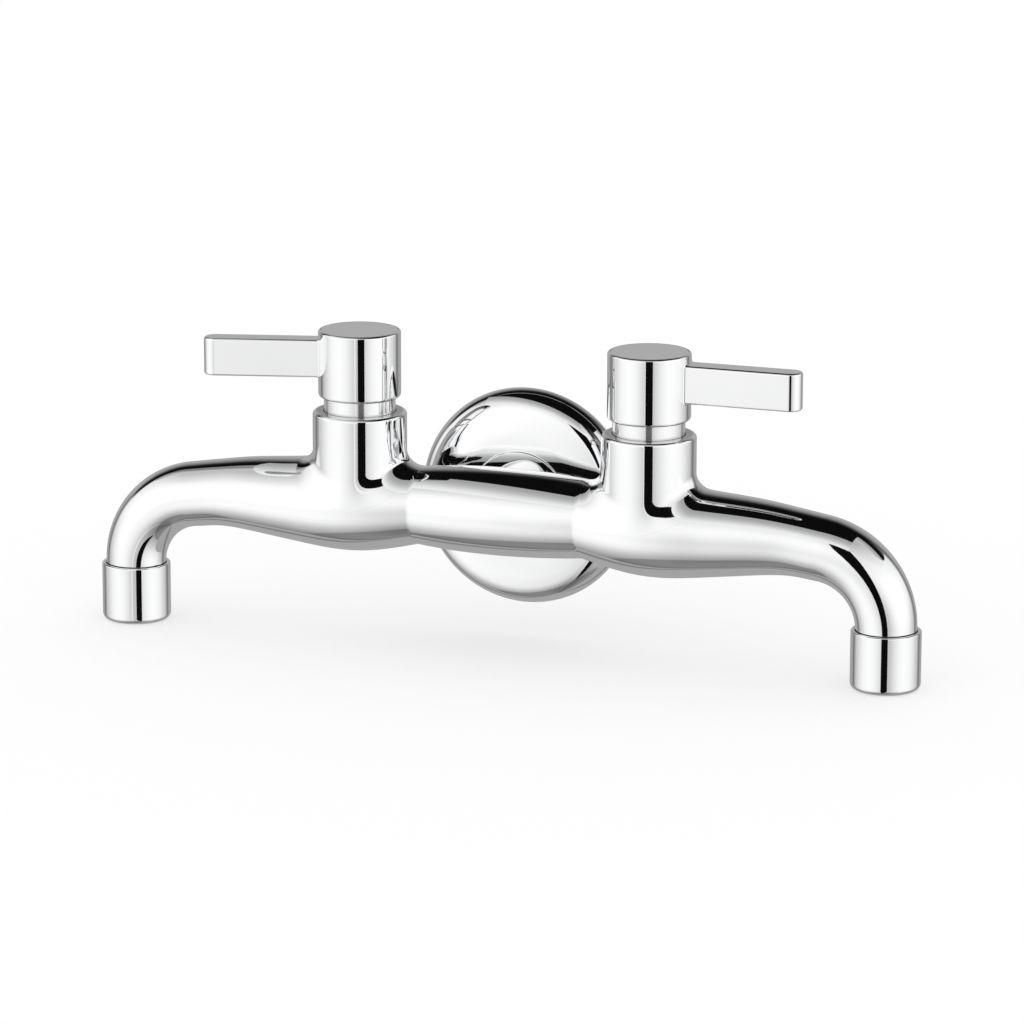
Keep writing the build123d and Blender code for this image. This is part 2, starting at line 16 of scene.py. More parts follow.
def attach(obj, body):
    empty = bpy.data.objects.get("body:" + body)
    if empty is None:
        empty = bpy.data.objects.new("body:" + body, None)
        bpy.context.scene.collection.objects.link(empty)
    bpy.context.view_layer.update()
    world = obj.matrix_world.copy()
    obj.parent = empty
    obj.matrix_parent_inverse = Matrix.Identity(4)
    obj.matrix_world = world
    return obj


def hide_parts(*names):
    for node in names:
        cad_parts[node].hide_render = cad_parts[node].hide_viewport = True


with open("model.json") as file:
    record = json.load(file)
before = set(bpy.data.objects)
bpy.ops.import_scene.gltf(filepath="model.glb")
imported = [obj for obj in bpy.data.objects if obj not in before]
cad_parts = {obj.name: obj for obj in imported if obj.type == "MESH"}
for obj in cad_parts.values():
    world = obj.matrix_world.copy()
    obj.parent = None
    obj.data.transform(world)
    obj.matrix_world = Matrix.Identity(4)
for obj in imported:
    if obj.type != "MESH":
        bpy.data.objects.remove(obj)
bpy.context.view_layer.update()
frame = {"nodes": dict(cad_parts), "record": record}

# Camera, at the photograph's viewing angle
EYE_DISTANCE = 2.00
EYE_AZIMUTH = 19.36
EYE_ELEVATION = 13.78
EYE_ROLL = 0.15
EYE_LENS = 195.3
SENSOR_WIDTH = 36
LOOK_AT = (0.0035, -0.0280, 0.0002)

# Casting
WALL_TO_AXIS = 28.0
VALVE_X = 55.0
CREASE_X = 31.5
BARREL_RADIUS = 16.0
CREASE_RADIUS = 14.2
CREASE_SOFTNESS = 0.25          # how far the two surfaces run into each other at the crease
CREASE_EASE = 0.8               # the centre line starts to drop over this distance on each side of the crease
CREASE_ZONE = 0.9               # sections lie close together over this distance on each side of the crease
BARREL_SECTIONS = 22
CREASE_SECTIONS = 18
ARM_SECTIONS = 70
ARM_SECTIONS_FROM = CREASE_X + 2
BELLY_RADIUS = 17.5
BELLY_DROP = 1.1
BELLY_RISE = 0.64               # share of the swelling reached half way out from the crease
NECK_RADIUS = 11.95
NECK_DROP = 2.9
NECK_SLOPE = 8.0
ARM_FORM = (                    # at even steps from valve to neck: share of the radius change, and the drop
    (0.07, 1.35), (0.305, 1.5), (0.515, 1.3), (0.73, 1.15), (0.93, 1.65)
)
BEND_RADIUS = 27.5
BEND_X = 116.2
BEND_Z = -NECK_DROP - BEND_RADIUS
SPOUT_RADIUS = 11.0
SPOUT_THREAD_RADIUS = 10.9
SPOUT_THREAD_END = BEND_Z - 9.0
ARM_BORE = 8.0
TOWER_RADIUS = 17.1
TOWER_TOP = 33.0
TOWER_BLEND = 5.0
TOWER_FRONT_START = 11.5        # height at which the blend leaves the tower's front and back
TOWER_FRONT_REACH = 3.5         # how far it runs out over the body there
TOWER_CORNER_REACH = 3.0        # how much further it runs between its front and its sides
TOWER_CORNER_RISE = 1.8         # how much higher it starts there
TOWER_LEAST_RISE = 1.5          # it starts at least this far over the body
BLEND_LEAD = 0.55               # pull of the blend's ends on its curve where wall and body meet squarely
BLEND_LEAD_GROWTH = 0.11        # how much the pull grows as they draw level
BLEND_TAIL = 1.0                # the blend runs on this far along the body
BLEND_SINK = 0.08               # and sinks this far into it
BLEND_DIP = 9.0                 # degrees that the small round blends run on under a surface
TOWER_RIM = 1.4
TOWER_LIP = 0.35                # the rim stands this much over the seat of the neck ring
RING_GROOVE = 0.22
CHAMBER_RADIUS = 11.6
CHAMBER_SHOWN = 12.0            # depth of the valve chamber under the tower's top
COLLAR_RADIUS = 13.5
COLLAR_BLEND = 1.5

# Wall inlet and wall plate
INLET_BORE = 7.5
INLET_RELIEF = 9.6
THREAD_CREST = 10.48
THREAD_ROOT = 9.35
THREAD_PITCH = 1.814
THREAD_FROM_WALL = -2.0
THREAD_TO = 16.0
THREAD_STEPS = 96               # steps to a turn of the thread
THREAD_TOOTH = (                # radius of the tooth by its share of the pitch
    (THREAD_ROOT, 0), (THREAD_ROOT, 0.1), (THREAD_CREST, 0.43), (THREAD_CREST, 0.57), (THREAD_ROOT, 0.9),
    (THREAD_ROOT, 1)
)
THREAD_END_OVERLAP = 0.02       # the end face starts this much inside the thread, so that no gap shows
THREAD_END_ROUND = 0.3
RELIEF_PAST_THREAD = 0.6        # the casting's relief goes this far past the thread's start
FLANGE_RADIUS = 40.0
FLANGE_WALL = 1.0
FLANGE_DEPTH = 11.4
LAND_RADIUS = 18.3
LAND_STEP = 0.8
LAND_FOOT = 0.25                # round where the land rises from the crown
RIM_BAND = 0.45
RIM_ROUND = 9.3
CROWN_GAP = 4.2
FLANGE_HOLE = 10.83
FLANGE_EDGE = 0.35

# Neck ring, handle and cap
RING_RADIUS = 13.0
RING_BORE = 11.32
RING_HEIGHT = 7.5
RING_EDGE = 0.4
RING_FOOT_EDGE = 0.15
HUB_RADIUS = 15.0
HUB_BOTTOM = 38.5
HUB_TOP = 63.1
HUB_TOP_EDGE = 0.9
HUB_BOTTOM_EDGE = 1.5
SKIRT_RADIUS = 13.3
SKIRT_TOP = 43.7
SOCKET_RADIUS = 4.05
SOCKET_TOP = 55.85
SCREW_HOLE = 2.2
SCREW_SEAT = 58.35
SCREW_RECESS = 4.0
LEVER_LENGTH = 56.5
LEVER_HEIGHT = 13.8
LEVER_THICKNESS = 9.0
LEVER_TOP = HUB_TOP - 3.4
LEVER_END_CORNER = 4.2
LEVER_EDGE = 0.9
LEVER_ROOT = 0.8
LEVER_STRAIGHT_FROM = HUB_RADIUS + 2.5      # the bar is drawn from here, and its root runs back to the hub
LEVER_MIDDLE = LEVER_TOP - LEVER_HEIGHT / 2
LEFT_TURN = 15.0
CAP_RADIUS = 14.0
CAP_HEIGHT = 1.5
CAP_GAP = 0.06
CAP_EDGE = 0.25
SPIGOT_RADIUS = 3.9
SPIGOT_BOTTOM = 61.05

# Aerator cap
AERATOR_RADIUS = 12.6
AERATOR_TOP = BEND_Z - 0.4
AERATOR_BOTTOM = AERATOR_TOP - 21.4
AERATOR_TOP_EDGE = 0.6
AERATOR_LIP = 0.5               # chamfer where the spout goes into the cap
AERATOR_BOTTOM_EDGE = 2.4
AERATOR_THREAD = 10.96
AERATOR_STEP = -42.7
INSERT_BORE = 10.32
INSERT_STEP = -50.45
OUTLET_RADIUS = 9.3
OUTLET_EDGE = 0.3

SHARP_ANGLE = 38
ROUND_STEPS = 192
ROUND_TURNS = [2 * pi * k / ROUND_STEPS for k in range(ROUND_STEPS)]
TUBE_STEPS = 256
BEND_STEPS = 40

AXIS_PLACE = Matrix.Translation((0, -WALL_TO_AXIS, 0))
WALL_PLACE = Matrix.Rotation(pi / 2, 4, "X")     # stands an upright shape out from the wall
IN_PLACE = Matrix.Identity(4)
TO_METRES = Matrix.Scale(0.001, 4)


# Shapes

def arc(centre, radius, start, end, steps):
    """Points on an arc, by the angle in degrees from the outward direction up."""
    points = []
    for k in range(steps + 1):
        angle = radians(start + (end - start) * k / steps)
        points.append((centre[0] + radius * cos(angle), centre[1] + radius * sin(angle)))
    return points


def rounded(corners, steps=6):
    """Half section with rounds at its corners, from (radius, height, round) or plain (radius, height)."""
    points = []
    for k, corner in enumerate(corners):
        here = Vector(corner[:2])
        size = corner[2] if len(corner) > 2 else 0
        if not size:
            points.append(tuple(here))
            continue
        before = (Vector(corners[k - 1][:2]) - here).normalized()
        after = (Vector(corners[(k + 1) % len(corners)][:2]) - here).normalized()
        opening = acos(max(-1, min(1, before.dot(after))))
        reach = size / tan(opening / 2)
        centre = here + (before + after).normalized() * size / sin(opening / 2)
        first = here + before * reach - centre
        last = here + after * reach - centre
        side = (last - first * (first.dot(last) / first.dot(first))).normalized()
        for j in range(steps + 1):
            turn = first.angle(last) * j / steps
            swing = first.normalized() * cos(turn) + side * sin(turn)
            points.append(tuple(centre + swing * size))
    return points


def spin_outline(mesh, outline, place, closed=True):
    """Spins a half section, (radius, height) points, a full turn round the local upright axis."""
    corners = [mesh.verts.new((radius, 0, height)) for radius, height in outline]
    sides = [mesh.edges.new(pair) for pair in zip(corners, corners[1:])]
    if closed:
        sides.append(mesh.edges.new((corners[-1], corners[0])))
    start = set(mesh.verts)
    bmesh.ops.spin(
        mesh, geom=corners + sides, cent=(0, 0, 0), axis=(0, 0, 1), angle=2 * pi, steps=ROUND_STEPS,
        use_merge=True
    )
    made = corners + [v for v in mesh.verts if v not in start]
    bmesh.ops.remove_doubles(mesh, verts=made, dist=0.0005)
    made = [v for v in made if v.is_valid]
    bmesh.ops.transform(mesh, matrix=place, verts=made)


def next_ring(mesh, ring):
    """Draws the ring's edges out into a new ring of vertices, in the same order."""
    drawn = bmesh.ops.extrude_edge_only(mesh, edges=ring_edges(ring))
    old = set(ring)
    partner = {}
    for vert in (g for g in drawn["geom"] if isinstance(g, bmesh.types.BMVert)):
        for edge in vert.link_edges:
            if edge.other_vert(vert) in old:
                partner[edge.other_vert(vert)] = vert
    return [partner[v] for v in ring]


def ring_edges(ring):
    found = []
    for a, b in zip(ring, ring[1:] + ring[:1]):
        for edge in a.link_edges:
            if edge.other_vert(a) == b:
                found.append(edge)
                break
    return found


def start_ring(mesh, steps):
    """Circle of radius 1 whose vertices are returned in order round it."""
    made = bmesh.ops.create_circle(mesh, cap_ends=False, radius=1, segments=steps)["verts"]
    return sorted(made, key=lambda v: atan2(v.co.y, v.co.x) % (2 * pi))


def move_ring(ring, points):
    for vert, point in zip(ring, points):
        vert.co = point


def slopes_through(knots, values, end_slope):
    """Slopes at the knots of a smooth curve through values, left free at its start and given at its end."""
    count = len(knots)
    table = np.zeros((count, count))
    sums = np.zeros(count)
    step = knots[1] - knots[0]
    table[0, 0], table[0, 1] = 2, 1
    sums[0] = 3 * (values[1] - values[0]) / step
    for k in range(1, count - 1):
        before, after = knots[k] - knots[k - 1], knots[k + 1] - knots[k]
        table[k, k - 1], table[k, k], table[k, k + 1] = 1 / before, 2 / before + 2 / after, 1 / after
        sums[k] = 3 * ((values[k] - values[k - 1]) / before ** 2 + (values[k + 1] - values[k]) / after ** 2)
    table[-1, -1] = 1
    sums[-1] = end_slope
    return np.linalg.solve(table, sums)


class ArmLine:
    """Radius and height of the casting's round sections, by their distance from the middle."""

    def __init__(self):
        neck_x = BEND_X + BEND_RADIUS * sin(radians(NECK_SLOPE))
        neck_z = BEND_Z + BEND_RADIUS * cos(radians(NECK_SLOPE))
        self.knots = [CREASE_X, (CREASE_X + VALVE_X) / 2, VALVE_X]
        half_way_radius = CREASE_RADIUS + BELLY_RISE * (BELLY_RADIUS - CREASE_RADIUS)
        self.radii = [CREASE_RADIUS, half_way_radius, BELLY_RADIUS]
        self.heights = [0, -BELLY_RISE * BELLY_DROP, -BELLY_DROP]
        for k, (fall, drop) in enumerate(ARM_FORM):
            share = (k + 1) / (len(ARM_FORM) + 1)
            self.knots.append(VALVE_X + share * (neck_x - VALVE_X))
            self.radii.append(BELLY_RADIUS - fall * (BELLY_RADIUS - NECK_RADIUS))
            self.heights.append(-drop)
        self.knots.append(neck_x)
        self.radii.append(NECK_RADIUS)
        self.heights.append(neck_z)
        bend_length = BEND_RADIUS * radians(90 - NECK_SLOPE)
        bend_taper = (SPOUT_RADIUS - NECK_RADIUS) / bend_length
        self.radius_slopes = slopes_through(self.knots, self.radii, bend_taper)
        self.height_slopes = slopes_through(self.knots, self.heights, -tan(radians(NECK_SLOPE)))

    def along(self, values, slopes, x):
        if x <= self.knots[0]:
            return values[0] + slopes[0] * (x - self.knots[0])
        last = len(self.knots) - 2
        k = min(last, max(i for i in range(len(self.knots)) if self.knots[i] <= x))
        step = self.knots[k + 1] - self.knots[k]
        t = (x - self.knots[k]) / step
        start = values[k] * (2 * t ** 3 - 3 * t ** 2 + 1) + slopes[k] * step * (t ** 3 - 2 * t ** 2 + t)
        return start + values[k + 1] * (3 * t ** 2 - 2 * t ** 3) + slopes[k + 1] * step * (t ** 3 - t ** 2)

    def radius(self, x):
        x = abs(x)
        barrel = BARREL_RADIUS - (BARREL_RADIUS - CREASE_RADIUS) * (x / CREASE_X) ** 2
        arm = self.along(self.radii, self.radius_slopes, x)
        overlap = max(CREASE_SOFTNESS - abs(barrel - arm), 0)
        return max(barrel, arm) + overlap ** 2 / (4 * CREASE_SOFTNESS)

    def height(self, x):
        x = abs(x)
        t = min(1, max(0, (x - CREASE_X + CREASE_EASE) / (2 * CREASE_EASE)))
        return self.along(self.heights, self.height_slopes, x) * t * t * (3 - 2 * t)

    def outside(self, point):
        """How far a point lies off the casting's round body, and which way is out."""
        x, y, z = point
        step = 0.05
        rise = (self.height(x + step) - self.height(x - step)) / (2 * step)
        growth = (self.radius(x + step) - self.radius(x - step)) / (2 * step)
        up = z - self.height(x)
        off = hypot(y, up)
        out = Vector((-growth - rise * up / off, y / off, up / off))
        return (off - self.radius(x)) / out.length, out.normalized()


ARM = ArmLine()


def tube_section(ring, centre, radius, tilt):
    """Lays a ring round the casting's centre line, leaning with the arm."""
    facing = Matrix.Rotation(radians(tilt), 3, "Y")
    points = []
    for k in range(len(ring)):
        turn = 2 * pi * k / len(ring)
        points.append(Vector(centre) + facing @ Vector((0, radius * cos(turn), radius * sin(turn))))
    move_ring(ring, points)


def tube_half(mesh):
    """Right half of the barrel with its valve body, arm and bend, drawn out ring by ring from the middle."""
    lean_from, neck = ARM.knots[-2:]
    places = [CREASE_X * k / BARREL_SECTIONS for k in range(BARREL_SECTIONS)]
    for k in range(CREASE_SECTIONS + 1):
        places.append(CREASE_X - CREASE_ZONE + 2 * CREASE_ZONE * k / CREASE_SECTIONS)
    for k in range(ARM_SECTIONS + 1):
        places.append(ARM_SECTIONS_FROM + (neck - ARM_SECTIONS_FROM) * k / ARM_SECTIONS)
    ring = None
    for x in places:
        ring = next_ring(mesh, ring) if ring else start_ring(mesh, TUBE_STEPS)
        tilt = NECK_SLOPE * max(0, (x - lean_from) / (neck - lean_from))
        tube_section(ring, (x, 0, ARM.height(x)), ARM.radius(x), tilt)
    for k in range(1, BEND_STEPS + 1):
        tilt = NECK_SLOPE + (90 - NECK_SLOPE) * k / BEND_STEPS
        centre = (BEND_X + BEND_RADIUS * sin(radians(tilt)), 0, BEND_Z + BEND_RADIUS * cos(radians(tilt)))
        ring = next_ring(mesh, ring)
        tube_section(ring, centre, NECK_RADIUS + (SPOUT_RADIUS - NECK_RADIUS) * k / BEND_STEPS, tilt)
    spout_end = (
        (SPOUT_THREAD_RADIUS, BEND_Z), (SPOUT_THREAD_RADIUS, SPOUT_THREAD_END), (ARM_BORE, SPOUT_THREAD_END),
        (ARM_BORE, BEND_Z)
    )
    for radius, height in spout_end:
        ring = next_ring(mesh, ring)
        tube_section(ring, (BEND_X + BEND_RADIUS, 0, height), radius, 90)


def blend_ring(centres, to_body, to_wall, size, share, beyond):
    """One ring of a rolling blend: share 0 lies on the body, 1 on the wall, beyond dips under the body."""
    points = []
    for centre, start, end in zip(centres, to_body, to_wall):
        turn = start.angle(end) * share - beyond
        side = (end - start * start.dot(end)).normalized()
        points.append(centre + (start * cos(turn) + side * sin(turn)) * size)
    return points


def blend_rings(mesh, centres, to_body, to_wall, size, steps):
    """Rings of a rolling blend from just under the body to the wall that stands on it."""
    ring = start_ring(mesh, len(centres))
    move_ring(ring, blend_ring(centres, to_body, to_wall, size, 0, radians(BLEND_DIP)))
    for k in range(steps + 1):
        ring = next_ring(mesh, ring)
        move_ring(ring, blend_ring(centres, to_body, to_wall, size, k / steps, 0))
    return ring


def blend_path(start, down, end, along, share):
    """Point on a soft curve that leaves the wall going down and runs out along the body."""
    first, second, rest = start + down, end - along, 1 - share
    near_wall = start * rest ** 3 + first * 3 * share * rest ** 2
    return near_wall + second * 3 * share * share * rest + end * share ** 3


def on_body(point):
    """Nearest point of the round body, and the way out of it there."""
    for _ in range(4):
        off, out = ARM.outside(point)
        point = point - out * off
    return point, out


def tower_foot(turn):
    """Ends and leads of the tower's blend at one side: its start on the wall and where it meets the body."""
    wall = Vector((cos(turn), sin(turn), 0))
    foot = Vector((VALVE_X, 0, 0)) + wall * TOWER_RADIUS
    low, high = -2.0, TOWER_TOP
    while high - low > 0.0005:
        middle = (low + high) / 2
        if ARM.outside((foot.x, foot.y, middle))[0] < 0:
            low = middle
        else:
            high = middle
    meet = Vector((foot.x, foot.y, low))
    body_out = ARM.outside(meet)[1]
    away = (wall - body_out * wall.dot(body_out)).normalized()
    frontness = sin(turn) ** 2
    quarter = sin(2 * turn) ** 2
    reach = TOWER_BLEND + (TOWER_FRONT_REACH - TOWER_BLEND) * frontness ** 2 + TOWER_CORNER_REACH * quarter
    end, end_out = on_body(meet + away * reach)
    along = (away - end_out * away.dot(end_out)).normalized()
    start_height = meet.z + TOWER_BLEND + (TOWER_FRONT_START - meet.z - TOWER_BLEND) * frontness
    start_height += TOWER_CORNER_RISE * quarter
    start = Vector((foot.x, foot.y, max(start_height, meet.z + TOWER_LEAST_RISE)))
    lead = BLEND_LEAD + BLEND_LEAD_GROWTH * wall.dot(body_out)
    return start, Vector((0, 0, -lead * (start.z - meet.z))), end, along * lead * reach


def tower(mesh):
    """Right tower, growing out of the valve body with a blend that is longer at its front and back."""
    feet = [tower_foot(turn) for turn in ROUND_TURNS]
    ring = start_ring(mesh, ROUND_STEPS)
    under = []
    for start, down, end, along in feet:
        point, out = on_body(end + along.normalized() * BLEND_TAIL)
        under.append(point - out * BLEND_SINK)
    move_ring(ring, under)
    steps = 28
    for k in range(steps, -1, -1):
        ring = next_ring(mesh, ring)
        move_ring(ring, [blend_path(*foot, k / steps) for foot in feet])
    rim_top = TOWER_TOP + TOWER_LIP
    seat = RING_RADIUS + RING_GROOVE
    rim = arc((TOWER_RADIUS - TOWER_RIM, rim_top - TOWER_RIM), TOWER_RIM, 0, 90, 8)
    chamber = [(CHAMBER_RADIUS, TOWER_TOP), (CHAMBER_RADIUS, TOWER_TOP - CHAMBER_SHOWN)]
    for radius, height in rim + [(seat, rim_top), (seat, TOWER_TOP)] + chamber:
        ring = next_ring(mesh, ring)
        move_ring(ring, [(VALVE_X + radius * cos(t), radius * sin(t), height) for t in ROUND_TURNS])


def collar(mesh):
    """Neck behind the barrel that the wall plate stands on, with a small blend round its root."""
    reach = COLLAR_RADIUS + COLLAR_BLEND
    centres, to_body, to_wall = [], [], []
    for turn in ROUND_TURNS:
        x, z = reach * cos(turn), reach * sin(turn)
        ball = ARM.radius(x) + COLLAR_BLEND
        centre = Vector((x, sqrt(ball ** 2 - z ** 2), z))
        out = ARM.outside(centre)[1]
        centres.append(centre)
        to_body.append(-out)
        to_wall.append(Vector((-cos(turn), 0, -sin(turn))))
    ring = blend_rings(mesh, centres, to_body, to_wall, COLLAR_BLEND, 8)
    face = WALL_TO_AXIS - FLANGE_DEPTH
    relief_end = WALL_TO_AXIS + THREAD_FROM_WALL + RELIEF_PAST_THREAD
    for radius, depth in ((COLLAR_RADIUS, face), (INLET_RELIEF, face), (INLET_RELIEF, relief_end)):
        ring = next_ring(mesh, ring)
        move_ring(ring, [(radius * cos(t), depth, radius * sin(t)) for t in ROUND_TURNS])


def casting_mesh():
    mesh = bmesh.new()
    tube_half(mesh)
    tower(mesh)
    bmesh.ops.mirror(mesh, geom=mesh.verts[:] + mesh.edges[:] + mesh.faces[:], axis="X", merge_dist=0.001)
    bmesh.ops.remove_doubles(mesh, verts=[v for v in mesh.verts if abs(v.co.x) < 0.01], dist=0.002)
    collar(mesh)
    bmesh.ops.transform(mesh, matrix=AXIS_PLACE, verts=mesh.verts)
    return mesh


def inlet_thread_mesh():
    """Pipe thread of the wall inlet with its bore."""
    mesh = bmesh.new()
    turns = int((THREAD_TO - THREAD_FROM_WALL) / THREAD_PITCH) + 3
    start = THREAD_FROM_WALL - THREAD_PITCH
    corners = [mesh.verts.new((radius, 0, start + share * THREAD_PITCH)) for radius, share in THREAD_TOOTH]
    sides = [mesh.edges.new(pair) for pair in zip(corners, corners[1:])]
    bmesh.ops.spin(
        mesh, geom=corners + sides, cent=(0, 0, 0), axis=(0, 0, 1), dvec=(0, 0, THREAD_PITCH / THREAD_STEPS),
        angle=2 * pi * turns, steps=THREAD_STEPS * turns, use_merge=False
    )
    bmesh.ops.remove_doubles(mesh, verts=mesh.verts, dist=0.002)
    for vert in mesh.verts:
        radius = hypot(vert.co.x, vert.co.y)
        end = min(vert.co.z - THREAD_FROM_WALL, THREAD_TO - vert.co.z)
        limit = max(THREAD_ROOT, THREAD_ROOT + end)
        if radius > limit:
            vert.co.x *= limit / radius
            vert.co.y *= limit / radius
    for height, up in ((THREAD_FROM_WALL, -1), (THREAD_TO, 1)):
        bmesh.ops.bisect_plane(
            mesh, geom=mesh.verts[:] + mesh.edges[:] + mesh.faces[:],
            plane_co=(0, 0, height), plane_no=(0, 0, up), clear_outer=True
        )
    bore = rounded((
        (THREAD_ROOT + THREAD_END_OVERLAP, THREAD_TO - THREAD_END_OVERLAP),
        (THREAD_ROOT - THREAD_END_ROUND, THREAD_TO), (INLET_BORE, THREAD_TO, THREAD_END_ROUND),
        (INLET_BORE, -WALL_TO_AXIS), (0, -WALL_TO_AXIS)
    ))
    spin_outline(mesh, bore, IN_PLACE, closed=False)
    bmesh.ops.transform(mesh, matrix=Matrix.Rotation(-pi / 2, 4, "X"), verts=mesh.verts)
    return mesh


def dome(inset):
    """Outside or inside of the pressed plate, from its rim to the crown beside the land."""
    rim_round = RIM_ROUND - inset
    rim_centre = FLANGE_RADIUS - RIM_ROUND
    crown_edge = LAND_RADIUS + CROWN_GAP
    crown_top = FLANGE_DEPTH - LAND_STEP - inset
    run = rim_centre - crown_edge
    tilt = 2 * atan2(crown_top - RIM_BAND - rim_round, run)
    crown_round = run / sin(tilt) + rim_round
    away = 90 - degrees(tilt)
    rim = arc((rim_centre, RIM_BAND), rim_round, 0, away, 20)
    crown = arc((crown_edge, crown_top - crown_round), crown_round, away, 90, 28)
    return [(rim_centre + rim_round, 0)] + rim + crown[1:]


def flange_mesh():
    mesh = bmesh.new()
    top = FLANGE_DEPTH
    land = rounded((
        (LAND_RADIUS + 2 * LAND_FOOT, top - LAND_STEP), (LAND_RADIUS, top - LAND_STEP, LAND_FOOT),
        (LAND_RADIUS, top, FLANGE_EDGE), (FLANGE_HOLE, top), (FLANGE_HOLE, top - FLANGE_WALL),
        (LAND_RADIUS - FLANGE_WALL, top - FLANGE_WALL)
    ))
    inside = dome(FLANGE_WALL)
    spin_outline(mesh, dome(0) + land + inside[::-1], WALL_PLACE)
    return mesh


def ring_mesh(side):
    mesh = bmesh.new()
    top = TOWER_TOP + RING_HEIGHT
    outline = rounded((
        (RING_BORE, TOWER_TOP), (RING_RADIUS, TOWER_TOP, RING_FOOT_EDGE), (RING_RADIUS, top, RING_EDGE),
        (RING_BORE, top)
    ))
    spin_outline(mesh, outline, AXIS_PLACE @ Matrix.Translation((side * VALVE_X, 0, 0)))
    return mesh


def round_edges(mesh, edges, size, segments):
    bmesh.ops.bevel(
        mesh, geom=edges, offset=size, offset_type="OFFSET", segments=segments, profile=0.5, affect="EDGES",
        material=-1
    )


def lever_bar(mesh):
    """Flat bar lever, rounded at its end and run into the hub with a small blend."""
    size = (LEVER_LENGTH - LEVER_STRAIGHT_FROM, LEVER_THICKNESS, LEVER_HEIGHT)
    middle = (LEVER_STRAIGHT_FROM + size[0] / 2, 0, LEVER_MIDDLE)
    bmesh.ops.create_cube(mesh, size=1, matrix=Matrix.Translation(middle) @ Matrix.Diagonal(size + (1,)))
    bmesh.ops.delete(mesh, geom=[f for f in mesh.faces if f.normal.x < -0.9], context="FACES")
    corners = []
    for edge in mesh.edges:
        low, high = sorted(edge.verts, key=lambda v: v.co.z)
        if min(low.co.x, high.co.x) > LEVER_STRAIGHT_FROM + 1 and high.co.z - low.co.z > 1:
            corners.append(edge)
    round_edges(mesh, corners, LEVER_END_CORNER, 14)
    brims = []
    for edge in mesh.edges:
        level = abs(edge.verts[0].co.z - edge.verts[1].co.z) < 0.01
        if level and len(edge.link_faces) == 2 and edge.calc_face_angle() > 1:
            brims.append(edge)
    round_edges(mesh, brims, LEVER_EDGE, 6)
    flat = LEVER_THICKNESS / 2 - LEVER_EDGE
    for k in range(-5, 6):
        bmesh.ops.bisect_plane(
            mesh, geom=mesh.verts[:] + mesh.edges[:] + mesh.faces[:], dist=0.0001,
            plane_co=(0, flat * k / 5, 0), plane_no=(0, 1, 0)
        )


def open_loop(mesh):
    """Vertices of the bar's open end, in order round it, with the way each one faces out."""
    ends = [v for v in mesh.verts if abs(v.co.x - LEVER_STRAIGHT_FROM) < 0.01]
    ends.sort(key=lambda v: atan2(v.co.z - LEVER_MIDDLE, v.co.y))
    outs = []
    half_y, half_z = LEVER_THICKNESS / 2 - LEVER_EDGE, LEVER_HEIGHT / 2 - LEVER_EDGE
    for vert in ends:
        y, z = vert.co.y, vert.co.z - LEVER_MIDDLE
        out = Vector((0, y - max(-half_y, min(half_y, y)), z - max(-half_z, min(half_z, z))))
        outs.append(out.normalized())
    return ends, outs


def handle_mesh(side, turn):
    """Round hub with its lever, turned about its own upright axis."""
    mesh = bmesh.new()
    lever_bar(mesh)
    ring, outs = open_loop(mesh)
    centres, to_hub, to_bar = [], [], []
    for vert, out in zip(ring, outs):
        y, z = vert.co.y + LEVER_ROOT * out.y, vert.co.z + LEVER_ROOT * out.z
        reach = HUB_RADIUS + LEVER_ROOT
        centre = Vector((sqrt(reach ** 2 - y ** 2), y, z))
        centres.append(centre)
        to_hub.append(Vector((-centre.x, -centre.y, 0)).normalized())
        to_bar.append(-out)
    steps = 8
    for k in range(steps, -1, -1):
        ring = next_ring(mesh, ring)
        move_ring(ring, blend_ring(centres, to_hub, to_bar, LEVER_ROOT, k / steps, 0))
    ring = next_ring(mesh, ring)
    move_ring(ring, blend_ring(centres, to_hub, to_bar, LEVER_ROOT, 0, radians(BLEND_DIP)))
    cap_floor = HUB_TOP - CAP_HEIGHT
    hub = rounded((
        (SKIRT_RADIUS, SKIRT_TOP), (SKIRT_RADIUS, HUB_BOTTOM), (HUB_RADIUS, HUB_BOTTOM, HUB_BOTTOM_EDGE),
        (HUB_RADIUS, HUB_TOP, HUB_TOP_EDGE), (CAP_RADIUS + CAP_GAP, HUB_TOP),
        (CAP_RADIUS + CAP_GAP, cap_floor), (SCREW_RECESS, cap_floor), (SCREW_RECESS, SCREW_SEAT),
        (SCREW_HOLE, SCREW_SEAT), (SCREW_HOLE, SOCKET_TOP), (SOCKET_RADIUS, SOCKET_TOP),
        (SOCKET_RADIUS, SKIRT_TOP)
    ), 8)
    spin_outline(mesh, hub, IN_PLACE)
    place = AXIS_PLACE @ Matrix.Translation((side * VALVE_X, 0, 0)) @ Matrix.Rotation(radians(turn), 4, "Z")
    bmesh.ops.transform(mesh, matrix=place, verts=mesh.verts)
    return mesh


def cap_mesh(side):
    mesh = bmesh.new()
    low = HUB_TOP - CAP_HEIGHT
    outline = rounded((
        (0, HUB_TOP), (CAP_RADIUS, HUB_TOP, CAP_EDGE), (CAP_RADIUS, low), (SPIGOT_RADIUS, low),
        (SPIGOT_RADIUS, SPIGOT_BOTTOM), (0, SPIGOT_BOTTOM)
    ))
    spin_outline(mesh, outline, AXIS_PLACE @ Matrix.Translation((side * VALVE_X, 0, 0)), closed=False)
    return mesh


